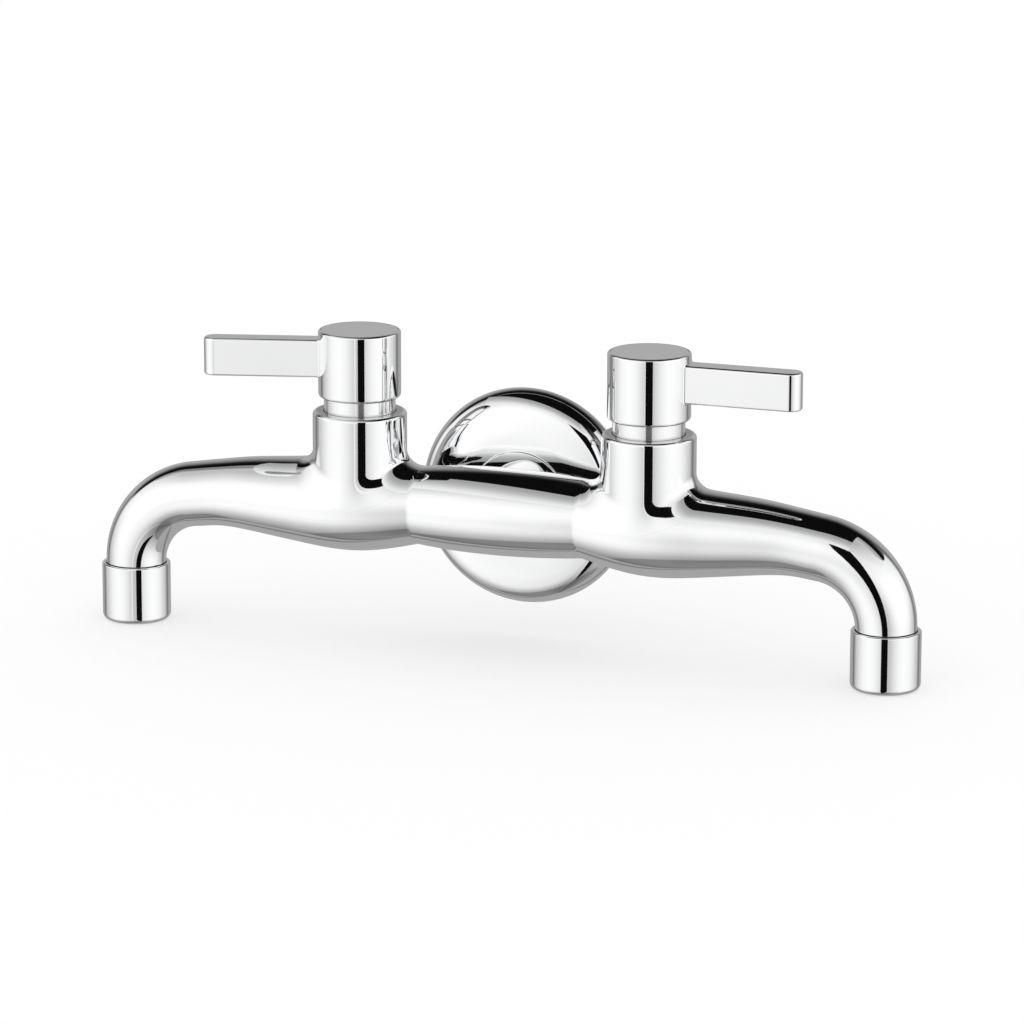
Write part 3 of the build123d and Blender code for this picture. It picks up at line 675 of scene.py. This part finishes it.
def aerator_mesh(side):
    mesh = bmesh.new()
    outline = rounded((
        (OUTLET_RADIUS, AERATOR_BOTTOM, OUTLET_EDGE), (AERATOR_RADIUS, AERATOR_BOTTOM, AERATOR_BOTTOM_EDGE),
        (AERATOR_RADIUS, AERATOR_TOP, AERATOR_TOP_EDGE), (AERATOR_THREAD + AERATOR_LIP, AERATOR_TOP),
        (AERATOR_THREAD, AERATOR_TOP - AERATOR_LIP), (AERATOR_THREAD, AERATOR_STEP),
        (INSERT_BORE, AERATOR_STEP), (INSERT_BORE, INSERT_STEP), (OUTLET_RADIUS, INSERT_STEP)
    ), 10)
    spin_outline(mesh, outline, AXIS_PLACE @ Matrix.Translation((side * (BEND_X + BEND_RADIUS), 0, 0)))
    return mesh


# Finishes

CHROME = (0.93, 0.932, 0.936)
CHROME_PATCH = (0.915, 0.918, 0.924)
PATCH_SHARE = 0.7               # weight of the patches beside the grain
PATCH_RANGE = (0.3, 0.7)
# Painted shade where parts meet on the casting: the colour is darkened at the neck ring seats, partly on the
# tower's flat rim, and at the outlet threads
SEAT_MARGIN = 0.08              # millimetres that the painted joint shade at the seats reaches past the groove
RIM_MARGIN = 0.1                # and that the painted shade on the tower's flat rim stops short of its round
RIM_SHADE_SHARE = 0.5
THREADS_BEYOND = 110            # the outlet threads lie farther from the middle than this
# Grey that the painted joint shade darkens the chrome towards; the surface is also made rougher there
JOINT_SHADE_LEVEL = 0.10
DULL_ROUGHER = 0.3


class Wire:
    """Output of a node that can be used in sums."""

    def __init__(self, board, socket):
        self.board = board
        self.socket = socket

    def __add__(self, other):
        return self.board.maths("ADD", self, other)

    def __radd__(self, other):
        return self.board.maths("ADD", other, self)

    def __sub__(self, other):
        return self.board.maths("SUBTRACT", self, other)

    def __rsub__(self, other):
        return self.board.maths("SUBTRACT", other, self)

    def __mul__(self, other):
        return self.board.maths("MULTIPLY", self, other)

    def __rmul__(self, other):
        return self.board.maths("MULTIPLY", other, self)

    def __truediv__(self, other):
        return self.board.maths("DIVIDE", self, other)

    def __abs__(self):
        return self.board.maths("ABSOLUTE", self)


class Board:
    """Node tree of one finish or of the surroundings."""

    def __init__(self, tree):
        self.tree = tree
        tree.nodes.clear()

    def node(self, kind, settings=None, values=None, output=0):
        made = self.tree.nodes.new(kind)
        for name, value in (settings or {}).items():
            if name == "stops":
                self.set_stops(made.color_ramp, value)
            else:
                setattr(made, name, value)
        for name, value in (values or {}).items():
            if isinstance(value, Wire):
                self.tree.links.new(value.socket, made.inputs[name])
            else:
                made.inputs[name].default_value = value
        return Wire(self, made.outputs[output]) if made.outputs else None

    def maths(self, operation, first, second=None):
        values = {0: first} if second is None else {0: first, 1: second}
        return self.node("ShaderNodeMath", {"operation": operation}, values)

    def parts(self, place):
        """The three numbers of a place or a direction."""
        split = self.node("ShaderNodeSeparateXYZ", {}, {0: place}).socket.node
        return [Wire(self, socket) for socket in split.outputs]

    def set_stops(self, ramp, stops):
        while len(ramp.elements) > 1:
            ramp.elements.remove(ramp.elements[-1])
        ramp.elements[0].position = stops[0][0]
        ramp.elements[0].color = stops[0][1]
        for position, colour in stops[1:]:
            ramp.elements.new(position).color = colour

    def smooth(self, value, low, high):
        """0 below low, 1 above high, and eased between them."""
        settings = {"interpolation_type": "SMOOTHSTEP"}
        return self.node("ShaderNodeMapRange", settings, {"Value": value, "From Min": low, "From Max": high})

    def mix(self, share, first, second):
        return self.node("ShaderNodeMix", {"data_type": "RGBA"}, {0: share, 6: first, 7: second}, 2)

    def noise(self, place, scale, detail):
        return self.node("ShaderNodeTexNoise", {}, {"Vector": place, "Scale": scale, "Detail": detail})


def grey(level):
    return (level, level, level, 1)


def past(board, value, edge, soft=0.1):
    """0 up to an edge in millimetres, and 1 beyond a soft band."""
    return board.smooth(value, edge / 1000, (edge + soft) / 1000)


def painted_joint_shade(board, place):
    """Painted shade: 1 on the seats round the neck rings and on the threads under the outlet caps, and partly
    on the tower's flat rim, where the colour is darkened to stand in for the shade where parts meet.
    """
    x, y, z = board.parts(place)
    across = abs(x) - VALVE_X / 1000
    depth = y + WALL_TO_AXIS / 1000
    from_valve = board.maths("SQRT", across * across + depth * depth)
    inside_seat = 1 - past(board, from_valve, RING_RADIUS + RING_GROOVE + SEAT_MARGIN)
    seat = inside_seat * past(board, z, TOWER_TOP - 0.5)
    inside_rim = 1 - past(board, from_valve, TOWER_RADIUS - TOWER_RIM - RIM_MARGIN, 0.2)
    rim = inside_rim * past(board, z, TOWER_TOP + 0.1)
    thread = (1 - past(board, z, BEND_Z - 0.2, 0.2)) * past(board, abs(x), THREADS_BEYOND, 1)
    return board.maths("MAXIMUM", board.maths("MAXIMUM", seat, rim * RIM_SHADE_SHARE), thread)


def blank(name):
    """New material with an empty board."""
    made = bpy.data.materials.new(name)
    made.use_nodes = True
    return made, Board(made.node_tree)


def finish(name, colour, other, rough, rough_change, metallic, patch, grain, bump, grain_bump, shaded_joints=None):
    """Surface whose colour and gloss drift a little over patches and fine grain, both on the piece itself."""
    made, board = blank(name)
    place = board.node("ShaderNodeTexCoord", output=3)
    patches = board.noise(place, patch, 3.0)
    fine = board.noise(place, grain, 2.0)
    spread = board.smooth(patches * PATCH_SHARE + fine * (1 - PATCH_SHARE), *PATCH_RANGE)
    tint = board.mix(spread, (*colour, 1), (*other, 1))
    gloss = spread * rough_change + rough
    # Painted shade: where the mask is 1 the colour is darkened towards a grey, and the surface is also made
    # rougher
    if shaded_joints:
        share = shaded_joints(board, place)
        tint = board.mix(share, tint, grey(JOINT_SHADE_LEVEL))
        gloss = gloss + share * DULL_ROUGHER
    height = patches * bump + fine * grain_bump
    normal = board.node("ShaderNodeBump", {}, {"Height": height, "Distance": 1.0, "Strength": 1.0})
    values = {"Base Color": tint, "Roughness": gloss, "Metallic": metallic, "Normal": normal}
    surface = board.node("ShaderNodeBsdfPrincipled", {}, values)
    board.node("ShaderNodeOutputMaterial", {}, {"Surface": surface})
    return made


# After the name: colour, colour of the patches, roughness, how much rougher the patches are, metallic,
# fineness of the patches and of the grain, their heights in metres, and what marks the joints that get
# painted shade and more roughness, if any
FINISHES = {
    # The casting's finish darkens its joints with painted shade
    "chromed_brass": finish(
        "bright chrome", CHROME, CHROME_PATCH,
        0.028, 0.02, 1.0, 45, 1500, 0.000006, 0.0000002, painted_joint_shade
    ),
    "chromed_flange": finish(
        "bright pressed chrome", CHROME, CHROME_PATCH,
        0.03, 0.02, 1.0, 60, 1500, 0.000008, 0.0000002
    ),
    "chromed_trim": finish(
        "turned chrome ring", (0.95, 0.952, 0.956), (0.93, 0.933, 0.94),
        0.09, 0.04, 0.85, 80, 1800, 0.000002, 0.0000004
    ),
    "chromed_handle": finish(
        "polished chrome handle", CHROME, CHROME_PATCH,
        0.026, 0.018, 1.0, 50, 1500, 0.000004, 0.0000002
    ),
    "chromed_cap": finish(
        "polished chrome cap", CHROME, (0.91, 0.913, 0.92),
        0.03, 0.02, 1.0, 70, 1600, 0.000002, 0.0000002
    ),
    "chromed_aerator": finish(
        "chromed aerator housing", CHROME, CHROME_PATCH,
        0.028, 0.02, 1.0, 50, 1500, 0.000003, 0.0000002
    ),
    "raw_brass": finish(
        "turned brass", (0.72, 0.52, 0.25), (0.62, 0.43, 0.19),
        0.22, 0.12, 1.0, 120, 2400, 0.00001, 0.000003
    ),
    "black_rubber": finish(
        "black seal rubber", (0.022, 0.022, 0.023), (0.035, 0.035, 0.036),
        0.62, 0.14, 0.0, 150, 2600, 0.00001, 0.00001
    ),
    "ceramic": finish(
        "ground white ceramic", (0.80, 0.79, 0.76), (0.74, 0.73, 0.70),
        0.18, 0.10, 0.0, 200, 3000, 0.0, 0.000002
    ),
    "white_plastic": finish(
        "moulded white plastic", (0.78, 0.78, 0.77), (0.72, 0.72, 0.71),
        0.38, 0.12, 0.0, 140, 2200, 0.00001, 0.000004
    ),
    "cage_plastic": finish(
        "moulded cage plastic", (0.62, 0.64, 0.65), (0.55, 0.57, 0.58),
        0.36, 0.12, 0.0, 140, 2200, 0.00001, 0.000004
    ),
    "spring_steel": finish(
        "spring steel", (0.50, 0.50, 0.51), (0.40, 0.40, 0.41),
        0.24, 0.12, 1.0, 160, 2600, 0.000004, 0.000002
    ),
    "screw_steel": finish(
        "zinc plated steel", (0.62, 0.62, 0.60), (0.50, 0.50, 0.49),
        0.28, 0.14, 1.0, 200, 2600, 0.000004, 0.000003
    ),
    "screen_steel": finish(
        "stainless mesh", (0.58, 0.58, 0.58), (0.46, 0.46, 0.46),
        0.30, 0.12, 1.0, 200, 3000, 0.0, 0.000003
    ),
}


def set_piece(name, mesh, body, slot, *nodes):
    """Turns finished mesh work into a piece in metres that stands for CAD nodes and rides on their body."""
    bmesh.ops.transform(mesh, matrix=TO_METRES, verts=mesh.verts)
    bmesh.ops.recalc_face_normals(mesh, faces=mesh.faces)
    data = bpy.data.meshes.new(name)
    mesh.to_mesh(data)
    mesh.free()
    data.shade_smooth()
    data.set_sharp_from_angle(angle=radians(SHARP_ANGLE))
    data.materials.append(FINISHES[slot])
    piece = bpy.data.objects.new(name, data)
    bpy.context.scene.collection.objects.link(piece)
    even = piece.modifiers.new("even shading", "WEIGHTED_NORMAL")
    even.keep_sharp = True
    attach(piece, body)
    if nodes:
        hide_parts(*nodes)


def dress_cad_nodes():
    """Gives each CAD node that stays the finish of its own slot."""
    slots = {row["node"]: row["material_slot"] for row in frame["record"]["subparts"]}
    for name, node in frame["nodes"].items():
        slot = slots.get(name)
        if slot in FINISHES:
            node.data.materials.clear()
            node.data.materials.append(FINISHES[slot])


def build_tap():
    set_piece("casting", casting_mesh(), "tap_body", "chromed_brass", "body_casting")
    set_piece("inlet_thread", inlet_thread_mesh(), "tap_body", "raw_brass")
    set_piece("wall_plate", flange_mesh(), "tap_body", "chromed_flange", "wall_flange")
    for side, name, turn in ((-1, "left", 180 + LEFT_TURN), (1, "right", 0)):
        set_piece(name + "_ring", ring_mesh(side), "tap_body", "chromed_trim", name + "_neck_ring")
        handle = name + "_handle"
        set_piece(name + "_lever", handle_mesh(side, turn), handle, "chromed_handle", handle)
        set_piece(name + "_hub_cap", cap_mesh(side), handle, "chromed_cap", name + "_top_cap")
        outlet = aerator_mesh(side)
        set_piece(name + "_outlet_cap", outlet, "tap_body", "chromed_aerator", name + "_aerator_cap")


# Studio

FRONT_LEVELS = (        # elevation in degrees and brightness of the pale front of the studio
    (-62, 0.25), (-60, 0.43), (-51.5, 0.60), (-46, 0.74), (-38, 0.94), (-28, 1.06), (-14, 1.06),
    (-5, 1.14), (22, 1.14), (37, 1.0), (41, 0.90), (51.5, 0.72), (59, 0.58), (64, 0.48), (68, 0.50),
    (71, 0.58), (90, 0.55)
)
REAR_LEVELS = ((-10, 0.39), (5, 0.41), (13.5, 0.43), (22, 0.39))        # the same for the back of the studio
HIGH_REAR_LEVELS = (    # the back of the studio high up, by the angle about X from level in front
    (90, 0.6), (101, 0.47), (107, 0.38), (111, 0.35), (112.5, 0.004), (122, 0.004), (128, 0.015), (134, 0.07),
    (140, 0.2), (148, 0.28), (156, 0.36), (167, 0.45)
)
SIDE_LEVELS = (         # the front's brightness by the turn away from the lens, in degrees
    (0, 0.55), (9, 0.56), (12, 0.60), (20, 0.72), (30, 0.84), (40, 0.93), (50, 0.98), (58, 1.0), (70, 0.98),
    (84, 0.92), (95, 0.80), (105, 0.67), (116, 0.55), (126, 0.44), (140, 0.34), (150, 0.30), (180, 0.32)
)
REAR_LINE = ((120, 1), (126, 0.75), (131, 0.40), (136, 0.75), (143, 1))     # dark line behind the pale front

# Below, a rise is the upward share of a direction, from -1 straight down to 1 straight up
REAR_FROM = 0.5         # the back starts where a level direction's share towards the lens is under minus this
REAR_SOFT = 0.06
STEEP_RISES = (0.55, 0.85)      # over these rises its start moves to the upright plane through the middle
STEEP_SHARPNESS = 6
HIGH_RISES = (0.25, 0.35)       # over these rises the levels high up take over at the back
LOW_RISES = (-0.16, 0.25)       # over these rises the fall of the light to the sides becomes weaker
HIGH_FALL = 0.4         # and this much of it stays
LEVER_LIGHT = -0.198    # place of the narrow light that the left lever's flat face picks up
LEVER_LIGHT_EDGES = (0.02, 0.05)
LEVER_LIGHT_LEVEL = 0.24

FLOOR_SIZE = 8
FLOOR_GAP = 0.05        # millimetres under the outlet caps
FLOOR_WHITE = 0.5       # share of the floor's shading that the camera sees as even white
GAP_LEVEL = 0.004
CARD_DISTANCE = 0.80
CARD_WIDTH = 0.27
CARD_SIDESTEP = 0.026
CARD_FULL = 24          # the gap has its full width up to this slope in degrees, and closes at its reach
CARD_REACH = 64
CARD_TAPER = 1.5
CARD_TIP = 0.02         # share of its width left at the ends
CARD_STEPS = 64
OVERHEAD_HEIGHT = 0.262
OVERHEAD_REAR = 0.075
OVERHEAD_HALF_WIDTH = 0.24
OVERHEAD_MIDDLE = (-0.078, -0.0505)     # place where the front edge's slant and curve are counted from
OVERHEAD_SLANT = -0.82
OVERHEAD_CURVE = 2.1
OVERHEAD_SOFT = 0.24    # reach of the light in front of the edge
OVERHEAD_STEPS = 24
OVERHEAD_LEVELS = (     # brightness by the share of that reach
    (0, GAP_LEVEL), (0.004, 0.37), (0.2, 0.42), (0.44, 0.58), (0.63, 0.76), (0.82, 0.88), (1, 0.94)
)


def level_ramp(board, place, levels, first=0, whole=180):
    """Brightness by a place that runs from 0 to 1 over a whole, half a turn at most, counted from first."""
    stops = [((at - first) / whole, grey(level)) for at, level in levels]
    return board.node("ShaderNodeValToRGB", {"stops": stops}, {"Fac": place})


def surroundings():
    """Pale studio: white to the camera and to matt surfaces, with soft levels that polished metal mirrors."""
    world = bpy.data.worlds.new("studio")
    bpy.context.scene.world = world
    world.use_nodes = True
    world.cycles.sampling_method = "NONE"
    board = Board(world.node_tree)
    lens_x, lens_y = sin(radians(EYE_AZIMUTH)), -cos(radians(EYE_AZIMUTH))
    x, y, z = board.parts(board.node("ShaderNodeTexCoord", output=0))
    elevation = board.maths("ARCSINE", z) / pi + 0.5
    level_part = board.maths("MAXIMUM", board.maths("SQRT", x * x + y * y), 0.0001)
    towards_eye = (x * lens_x + y * lens_y) / level_part
    across = (y * lens_x - x * lens_y) / level_part
    turn = board.maths("ARCCOSINE", board.maths("MINIMUM", towards_eye, 0.99999)) / pi
    about_x = board.maths("ARCTAN2", z, y * -1) / pi
    low = 1 - board.smooth(z, *LOW_RISES)
    fall = (level_ramp(board, turn, SIDE_LEVELS) - 1) * (low * (1 - HIGH_FALL) + HIGH_FALL) + 1
    lever_light = (1 - board.smooth(abs(across - LEVER_LIGHT), *LEVER_LIGHT_EDGES)) * low * LEVER_LIGHT_LEVEL
    front = level_ramp(board, elevation, FRONT_LEVELS, -90) * (fall + lever_light)
    low_rear = level_ramp(board, elevation, REAR_LEVELS, -90)
    high_rear = level_ramp(board, about_x, HIGH_REAR_LEVELS)
    rear = board.mix(board.smooth(z, *HIGH_RISES), low_rear, high_rear) * level_ramp(board, turn, REAR_LINE)
    steep = board.smooth(abs(z), *STEEP_RISES)
    side = (towards_eye + REAR_FROM) * (1 - steep) + (y * -STEEP_SHARPNESS) * steep
    seen_in_metal = board.mix(1 - board.smooth(side, -REAR_SOFT, REAR_SOFT), front, rear)
    rays = board.node("ShaderNodeLightPath").socket.node
    camera_ray = Wire(board, rays.outputs["Is Camera Ray"])
    matt_ray = Wire(board, rays.outputs["Is Diffuse Ray"])
    colour = board.mix(board.maths("MAXIMUM", camera_ray, matt_ray), seen_in_metal, grey(1))
    sky = board.node("ShaderNodeBackground", {}, {"Color": colour, "Strength": 1.0})
    board.node("ShaderNodeOutputWorld", {}, {"Surface": sky})


def glow(board, colour):
    return board.node("ShaderNodeEmission", {}, {"Color": colour, "Strength": 1.0})


def soft_floor():
    """White floor that keeps the tap's shadow, made lighter for the camera."""
    made, board = blank("white floor")
    matt = board.node("ShaderNodeBsdfDiffuse", {}, {"Color": grey(1)})
    camera_ray = board.node("ShaderNodeLightPath")
    white = glow(board, grey(1))
    surface = board.node("ShaderNodeMixShader", {}, {0: camera_ray * FLOOR_WHITE, 1: matt, 2: white})
    board.node("ShaderNodeOutputMaterial", {}, {"Surface": surface})
    return made


def dark_gap():
    made, board = blank("dark gap")
    board.node("ShaderNodeOutputMaterial", {}, {"Surface": glow(board, grey(GAP_LEVEL))})
    return made


def stage_piece(name, mesh, material):
    data = bpy.data.meshes.new(name)
    mesh.to_mesh(data)
    mesh.free()
    data.materials.append(material)
    piece = bpy.data.objects.new(name, data)
    bpy.context.scene.collection.objects.link(piece)
    return piece


def only_in_metal(piece):
    """Hides a card from everything but polished metal."""
    piece.visible_camera = False
    piece.visible_diffuse = False
    piece.visible_shadow = False


def floor():
    """Plain white floor under the outlet caps; metal looks past it to the studio."""
    mesh = bmesh.new()
    place = Matrix.Translation((0, 0, (AERATOR_BOTTOM - FLOOR_GAP) / 1000))
    bmesh.ops.create_grid(mesh, x_segments=1, y_segments=1, size=FLOOR_SIZE, matrix=place)
    piece = stage_piece("floor", mesh, soft_floor())
    piece.visible_glossy = False


def lens_gap_card():
    """Dark gap between the two soft lights, bent from low in front to high up, and seen only in metal."""
    mesh = bmesh.new()
    ends = [mesh.verts.new((side, -CARD_DISTANCE, 0)) for side in (-1, 1)]
    edge = mesh.edges.new(ends)
    bmesh.ops.transform(mesh, matrix=Matrix.Rotation(radians(CARD_REACH), 4, "X"), verts=mesh.verts)
    bmesh.ops.spin(
        mesh, geom=ends + [edge], cent=(0, 0, 0), axis=(1, 0, 0), angle=radians(-2 * CARD_REACH),
        steps=CARD_STEPS, use_merge=False
    )
    for vert in mesh.verts:
        slope = abs(degrees(atan2(vert.co.z, -vert.co.y)))
        closed = min(1, max(0, (slope - CARD_FULL) / (CARD_REACH - CARD_FULL)))
        vert.co.x = CARD_SIDESTEP + vert.co.x * CARD_WIDTH / 2 * max(CARD_TIP, 1 - closed ** CARD_TAPER)
    turn = Matrix.Translation(LOOK_AT) @ Matrix.Rotation(radians(EYE_AZIMUTH), 4, "Z")
    bmesh.ops.transform(mesh, matrix=turn, verts=mesh.verts)
    only_in_metal(stage_piece("lens_gap", mesh, dark_gap()))


def overhead_edge(x):
    """Front edge of the dark gap overhead, which comes nearer towards the right."""
    across = x - OVERHEAD_MIDDLE[0]
    return across * OVERHEAD_SLANT + across * across * OVERHEAD_CURVE + OVERHEAD_MIDDLE[1]


def overhead_finish():
    """Black behind the gap's front edge, and a light that grows softly in front of it."""
    made, board = blank("overhead light and gap")
    x, y, _ = board.parts(board.node("ShaderNodeTexCoord", output=3))
    colour = level_ramp(board, (overhead_edge(x) - y) / OVERHEAD_SOFT, OVERHEAD_LEVELS, whole=1)
    board.node("ShaderNodeOutputMaterial", {}, {"Surface": glow(board, colour)})
    return made


def overhead_card():
    """Card over the tap, seen only in polished metal, with the dark gap and the soft light in front of it."""
    mesh = bmesh.new()
    across = Matrix.Diagonal((OVERHEAD_HALF_WIDTH, 1, 1, 1))
    bmesh.ops.create_grid(mesh, x_segments=OVERHEAD_STEPS, y_segments=1, size=1, matrix=across)
    for vert in mesh.verts:
        vert.co.z = OVERHEAD_HEIGHT
        edge = overhead_edge(vert.co.x)
        vert.co.y = max(edge, OVERHEAD_REAR) if vert.co.y > 0 else edge - OVERHEAD_SOFT
    only_in_metal(stage_piece("overhead_gap", mesh, overhead_finish()))


def camera():
    azimuth, elevation, roll = radians(EYE_AZIMUTH), radians(EYE_ELEVATION), radians(EYE_ROLL)
    back = Vector((sin(azimuth) * cos(elevation), -cos(azimuth) * cos(elevation), sin(elevation)))
    right = (-back).cross(Vector((0, 0, 1))).normalized()
    up = right.cross(-back)
    right, up = right * cos(roll) + up * sin(roll), up * cos(roll) - right * sin(roll)
    data = bpy.data.cameras.new("eye")
    data.lens = EYE_LENS
    data.sensor_width = SENSOR_WIDTH
    data.clip_start = 0.05
    data.clip_end = 50
    eye = bpy.data.objects.new("eye", data)
    turned = Matrix((right, up, back)).transposed().to_4x4()
    eye.matrix_world = Matrix.Translation(Vector(LOOK_AT) + back * EYE_DISTANCE) @ turned
    bpy.context.scene.collection.objects.link(eye)
    bpy.context.scene.camera = eye


surroundings()
floor()
lens_gap_card()
overhead_card()
camera()
dress_cad_nodes()
build_tap()
bpy.context.scene.view_settings.view_transform = "Standard"

bpy.context.view_layer.update()
